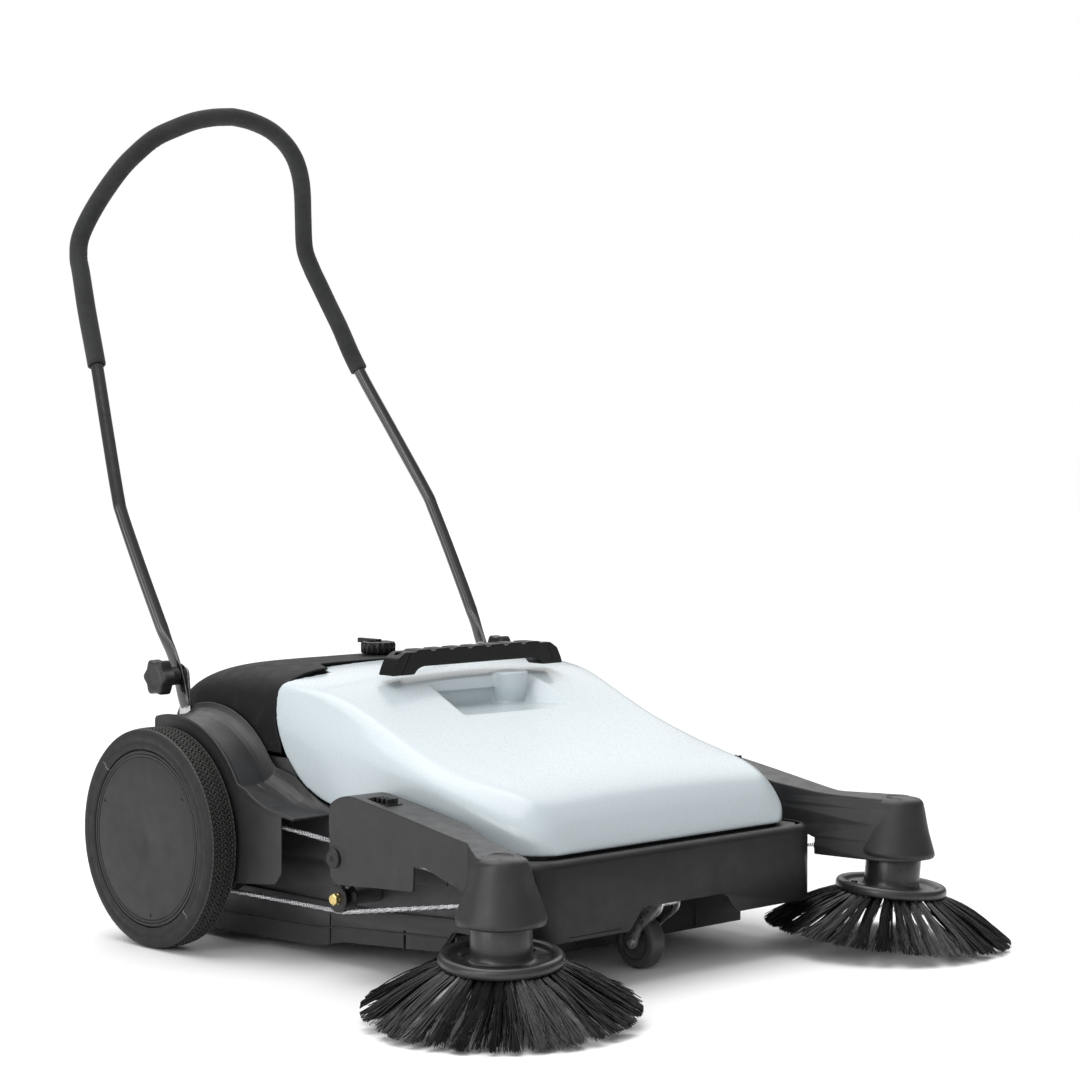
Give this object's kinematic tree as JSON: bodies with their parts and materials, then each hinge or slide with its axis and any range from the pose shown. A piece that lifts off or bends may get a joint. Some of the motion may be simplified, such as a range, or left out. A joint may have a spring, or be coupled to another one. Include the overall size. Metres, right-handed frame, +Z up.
{
  "type": "walk-behind sweeper",
  "caption": "Push sweeper with a main roller broom, belt-driven side brooms on arms, lift-out hopper, rear wheels, front caster and folding handle.",
  "frame": {"origin": "centre of the bounding box at floor level, where the wheels stand", "axes": "+Z up, the machine drives towards -Y, X is across the machine and X = 0 is its plane of symmetry"},
  "size_m": [0.9138, 1.0996, 1.0349],
  "materials": {
    "hopper_grey": "pale blue-grey satin moulding",
    "black_moulding": "black textured moulding",
    "dark_plastic": "plain black plastic",
    "rubber": "matt black rubber",
    "tyre": "ribbed black tread",
    "foam": "matt black foam sleeve",
    "black_paint": "gloss black enamel on tube",
    "zinc": "bright zinc plating",
    "spring_steel": "coiled spring wire",
    "brass": "plain brass",
    "painted_sheet": "dark painted sheet steel",
    "bristle": "black nylon bristle"
  },
  "bodies": {
    "chassis": {"right_side_frame": "painted_sheet", "left_side_frame": "painted_sheet", "right_side_skirt": "black_moulding", "left_side_skirt": "black_moulding", "right_axle_stub": "zinc", "left_axle_stub": "zinc", "right_fender": "black_moulding", "left_fender": "black_moulding", "right_handle_bracket": "zinc", "left_handle_bracket": "zinc", "right_arm_pin": "zinc", "left_arm_pin": "zinc", "right_idler_bolt": "brass", "left_idler_bolt": "brass", "right_side_belt": "spring_steel", "left_side_belt": "spring_steel", "front_bumper": "black_moulding", "front_crossmember": "painted_sheet", "front_skirt": "black_moulding", "rear_panel": "painted_sheet", "rear_flap": "rubber", "rear_cover": "black_moulding", "caster_plate": "zinc"},
    "hopper": {"hopper_cover": "hopper_grey", "hopper_tub": "dark_plastic", "carry_handle": "black_moulding"},
    "right_wheel": {"right_tyre": "tyre", "right_wheel_rim": "dark_plastic", "right_hub_cap": "black_moulding", "right_drive_gear": "dark_plastic"},
    "left_wheel": {"left_tyre": "tyre", "left_wheel_rim": "dark_plastic", "left_hub_cap": "black_moulding", "left_drive_gear": "dark_plastic"},
    "carrier": {"broom_carrier": "painted_sheet"},
    "right_pinion_gear": {"right_pinion": "dark_plastic"},
    "left_pinion_gear": {"left_pinion": "dark_plastic"},
    "main_broom": {"broom_core": "dark_plastic", "broom_bristles": "bristle", "right_belt_pulley": "dark_plastic", "left_belt_pulley": "dark_plastic"},
    "right_arm": {"right_arm_cover": "black_moulding"},
    "left_arm": {"left_arm_cover": "black_moulding"},
    "right_side_broom": {"right_brush_plate": "dark_plastic", "right_brush_bristles": "bristle", "right_brush_pulley": "dark_plastic"},
    "left_side_broom": {"left_brush_plate": "dark_plastic", "left_brush_bristles": "bristle", "left_brush_pulley": "dark_plastic"},
    "right_idler": {"right_idler_roller": "dark_plastic"},
    "left_idler": {"left_idler_roller": "dark_plastic"},
    "handlebar": {"handle_tube": "black_paint", "foam_grip": "foam"},
    "right_clamp_knob": {"right_handle_knob": "black_moulding"},
    "left_clamp_knob": {"left_handle_knob": "black_moulding"},
    "height_adjuster": {"height_knob": "black_moulding", "height_spindle": "zinc"},
    "caster_yoke": {"caster_fork": "zinc"},
    "caster_roller": {"caster_wheel": "rubber"}
  },
  "joints": [
    {"name": "right_wheel_spin", "type": "hinge", "parent": "chassis", "child": "right_wheel", "pos_m": [-0.32, 0.18114, 0.13], "axis": [1, 0, 0], "continuous": true},
    {"name": "left_wheel_spin", "type": "hinge", "parent": "chassis", "child": "left_wheel", "pos_m": [0.32, 0.18114, 0.13], "axis": [1, 0, 0], "continuous": true},
    {"name": "broom_height", "type": "hinge", "parent": "chassis", "child": "carrier", "pos_m": [0, 0.18114, 0.13], "axis": [-1, 0, 0], "range_deg": [0, 3], "deforming": ["right_side_belt", "left_side_belt"]},
    {"name": "height_knob_turn", "type": "hinge", "parent": "chassis", "child": "height_adjuster", "pos_m": [0, 0.16114, 0.33], "axis": [0, 0, 1], "range_deg": [0, 180]},
    {"name": "right_pinion_spin", "type": "hinge", "parent": "carrier", "child": "right_pinion_gear", "pos_m": [-0.2435, 0.10584, 0.1197], "axis": [1, 0, 0], "continuous": true},
    {"name": "left_pinion_spin", "type": "hinge", "parent": "carrier", "child": "left_pinion_gear", "pos_m": [0.2435, 0.10584, 0.1197], "axis": [1, 0, 0], "continuous": true},
    {"name": "main_broom_spin", "type": "hinge", "parent": "carrier", "child": "main_broom", "pos_m": [0, 0.10584, 0.1197], "axis": [1, 0, 0], "continuous": true},
    {"name": "right_arm_lift", "type": "hinge", "parent": "chassis", "child": "right_arm", "pos_m": [-0.27, -0.12086, 0.137], "axis": [-1, 0, 0], "range_deg": [0, 3], "deforming": ["right_side_belt"]},
    {"name": "right_side_broom_spin", "type": "hinge", "parent": "right_arm", "child": "right_side_broom", "pos_m": [-0.311, -0.40386, 0.014], "axis": [-0.0616, -0.0616, 0.9962], "continuous": true},
    {"name": "right_idler_spin", "type": "hinge", "parent": "chassis", "child": "right_idler", "pos_m": [-0.285, -0.11536, 0.0905], "axis": [1, 0, 0], "continuous": true},
    {"name": "left_arm_lift", "type": "hinge", "parent": "chassis", "child": "left_arm", "pos_m": [0.27, -0.12086, 0.137], "axis": [-1, 0, 0], "range_deg": [0, 3], "deforming": ["left_side_belt"]},
    {"name": "left_side_broom_spin", "type": "hinge", "parent": "left_arm", "child": "left_side_broom", "pos_m": [0.311, -0.40386, 0.014], "axis": [0.0616, -0.0616, 0.9962], "continuous": true},
    {"name": "left_idler_spin", "type": "hinge", "parent": "chassis", "child": "left_idler", "pos_m": [0.285, -0.11536, 0.0905], "axis": [1, 0, 0], "continuous": true},
    {"name": "handle_fold", "type": "hinge", "parent": "chassis", "child": "handlebar", "pos_m": [0, 0.23914, 0.3125], "axis": [-1, 0, 0], "range_deg": [-105, 0]},
    {"name": "right_clamp_knob_turn", "type": "hinge", "parent": "handlebar", "child": "right_clamp_knob", "pos_m": [-0.27, 0.23914, 0.3125], "axis": [1, 0, 0], "continuous": true},
    {"name": "left_clamp_knob_turn", "type": "hinge", "parent": "handlebar", "child": "left_clamp_knob", "pos_m": [0.27, 0.23914, 0.3125], "axis": [1, 0, 0], "continuous": true},
    {"name": "hopper_lift", "type": "slide", "parent": "chassis", "child": "hopper", "axis": [0, 0, 1], "range_m": [0, 0.35]},
    {"name": "caster_swivel", "type": "hinge", "parent": "chassis", "child": "caster_yoke", "pos_m": [0, -0.33286, 0.0895], "axis": [0, 0, 1], "continuous": true},
    {"name": "caster_wheel_spin", "type": "hinge", "parent": "caster_yoke", "child": "caster_roller", "pos_m": [0, -0.29886, 0.031], "axis": [1, 0, 0], "continuous": true}
  ],
  "couplings": [
    {"joint": "height_knob_turn", "follows": "broom_height", "ratio": 60},
    {"joint": "right_pinion_spin", "follows": "right_wheel_spin", "ratio": -2.1667},
    {"joint": "left_pinion_spin", "follows": "left_wheel_spin", "ratio": -2.1667},
    {"joint": "main_broom_spin", "follows": "right_wheel_spin", "ratio": -2.1667},
    {"joint": "right_side_broom_spin", "follows": "right_wheel_spin", "ratio": 3.4741},
    {"joint": "left_side_broom_spin", "follows": "right_wheel_spin", "ratio": -3.4741},
    {"joint": "right_idler_spin", "follows": "right_wheel_spin", "ratio": -6.5},
    {"joint": "left_idler_spin", "follows": "right_wheel_spin", "ratio": -6.5}
  ]
}
